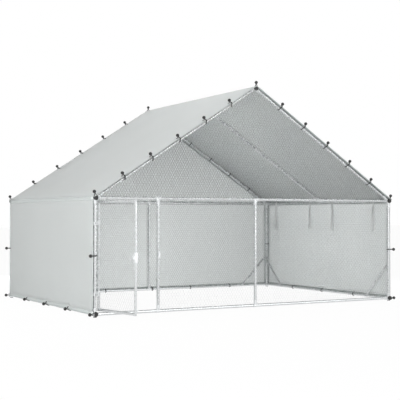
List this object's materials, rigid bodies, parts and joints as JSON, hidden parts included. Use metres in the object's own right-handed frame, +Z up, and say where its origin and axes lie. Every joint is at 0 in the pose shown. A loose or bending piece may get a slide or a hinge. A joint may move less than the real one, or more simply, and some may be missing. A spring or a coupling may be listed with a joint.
{
  "type": "walk-in poultry run with gable roof",
  "caption": "Walk-in wire poultry run with a gable frame of steel tubes, hexagonal netting, a light grey fabric cover held by ball bungees, and a netted hinged door.",
  "frame": {"origin": "on the ground under the foot of the front left corner post, beside the door", "axes": "+X to the right across the gable front, +Y from the front towards the rear, +Z up"},
  "size_m": [3.1029, 2.6076, 1.955],
  "materials": {
    "tube": "galvanised, satin",
    "fitting": "galvanised, satin",
    "hardware": "zinc plated",
    "fastener": "zinc plated",
    "netting": "galvanised wire",
    "cover": "coated woven polyester, light grey",
    "plug": "black",
    "ball": "black",
    "elastic": "black braided cover",
    "tape": "light grey woven tape"
  },
  "bodies": {
    "frame": {"base_corner_fittings": "fitting", "bungee_balls": "ball", "bungee_loops": "elastic", "door_strike_post": "tube", "eave_corner_fittings": "fitting", "eave_middle_fittings": "fitting", "end_plugs": "plug", "frame_screws": "fastener", "front_base_rail": "tube", "front_gable_net": "netting", "front_left_post": "tube", "front_left_rafter": "tube", "front_middle_post": "tube", "front_net": "netting", "front_right_post": "tube", "front_right_rafter": "tube", "front_tie_beam": "tube", "hinge_bolts": "fastener", "hinge_nuts": "fastener", "hinge_straps": "hardware", "latch_keeper": "hardware", "left_base_rail": "tube", "left_eave_rail": "tube", "left_front_brace": "tube", "left_net": "netting", "left_rear_brace": "tube", "left_roof_net": "netting", "left_side_cover": "cover", "middle_left_rafter": "tube", "middle_right_rafter": "tube", "post_tees": "fitting", "rear_base_rail": "tube", "rear_cover": "cover", "rear_left_brace": "tube", "rear_left_post": "tube", "rear_left_rafter": "tube", "rear_middle_post": "tube", "rear_net": "netting", "rear_right_brace": "tube", "rear_right_post": "tube", "rear_right_rafter": "tube", "rear_tie_beam": "tube", "ridge_fittings": "fitting", "ridge_pole": "tube", "right_base_rail": "tube", "right_eave_rail": "tube", "right_front_brace": "tube", "right_net": "netting", "right_rear_brace": "tube", "right_roof_net": "netting", "right_side_cover": "cover", "roof_cover": "cover", "tie_tapes": "tape"},
    "door": {"door_frame": "tube", "door_net": "netting", "door_collars": "hardware", "latch_bracket": "hardware", "latch_screws": "fastener"},
    "latch": {"latch_bolt": "hardware"}
  },
  "joints": [
    {"name": "door_hinge", "type": "hinge", "parent": "frame", "child": "door", "pos_m": [0.032, 0, 0.48], "axis": [0, 0, -1], "range_deg": [-79.5, 30.5]},
    {"name": "latch_slide", "type": "slide", "parent": "door", "child": "latch", "axis": [0.1822, -0.9833, 0], "range_m": [0, 0.024]}
  ]
}
